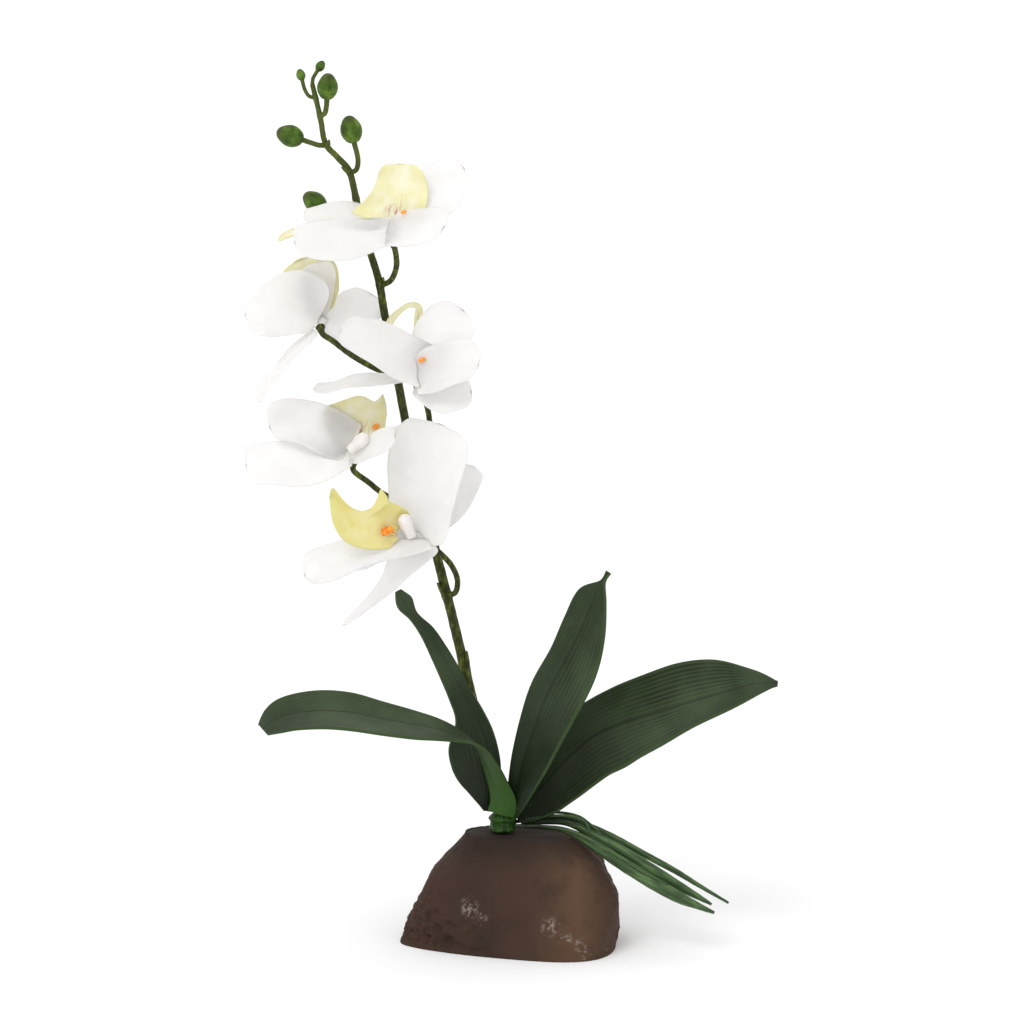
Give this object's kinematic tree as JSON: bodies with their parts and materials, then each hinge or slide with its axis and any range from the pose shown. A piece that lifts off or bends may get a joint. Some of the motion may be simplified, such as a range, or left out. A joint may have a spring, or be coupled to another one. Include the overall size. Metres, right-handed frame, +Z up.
{
  "type": "orchid plant growing on a rock",
  "caption": "Moth orchid growing on a rock: a leaning spike with open white flowers and green buds, strap leaves, a short crown and hanging aerial roots.",
  "frame": {"origin": "on the rock's flat underside, near its middle, just right of below the crown", "axes": "+Z up, +X to the right and +Y to the back as the plant is seen from its front"},
  "size_m": [0.2327, 0.0864, 0.4015],
  "materials": {
    "rock": "dull rough brown stone with worn pale patches",
    "crown": null,
    "leaf": null,
    "stem": null,
    "bud": null,
    "root": null,
    "petal": null,
    "lip": null
  },
  "bodies": {
    "root": {"rock": "rock", "crown": "crown", "root_front": "root", "root_middle": "root", "root_rear": "root", "leaf_left": "leaf", "leaf_back_left": "leaf", "leaf_upright": "leaf", "leaf_right": "leaf", "flower_spike": "stem", "bud_1": "bud", "bud_2": "bud", "bud_3": "bud", "bud_4": "bud", "bud_5": "bud", "bud_6": "bud", "flower_1_stalk": "stem", "flower_1_column": "petal", "flower_1_lip": "lip", "flower_1_petal_left": "petal", "flower_1_petal_right": "petal", "flower_1_sepal_front": "petal", "flower_1_sepal_left": "petal", "flower_1_sepal_back": "petal", "flower_2_stalk": "stem", "flower_2_column": "petal", "flower_2_lip": "lip", "flower_2_petal_left": "petal", "flower_2_petal_right": "petal", "flower_2_sepal_low": "petal", "flower_2_sepal_top": "petal", "flower_2_sepal_back": "petal", "flower_3_stalk": "stem", "flower_3_column": "petal", "flower_3_lip": "lip", "flower_3_petal_left": "petal", "flower_3_petal_right": "petal", "flower_3_sepal_back": "petal", "flower_3_sepal_right": "petal", "flower_3_sepal_left": "petal", "flower_4_stalk": "stem", "flower_4_column": "petal", "flower_4_lip": "lip", "flower_4_petal_left": "petal", "flower_4_petal_right": "petal", "flower_4_sepal_left": "petal", "flower_4_sepal_front": "petal", "flower_4_sepal_back": "petal", "flower_5_stalk": "stem", "flower_5_column": "petal", "flower_5_lip": "lip", "flower_5_petal_top": "petal", "flower_5_petal_left": "petal", "flower_5_sepal_right": "petal", "flower_5_sepal_low": "petal", "flower_5_sepal_back": "petal"}
  },
  "joints": []
}
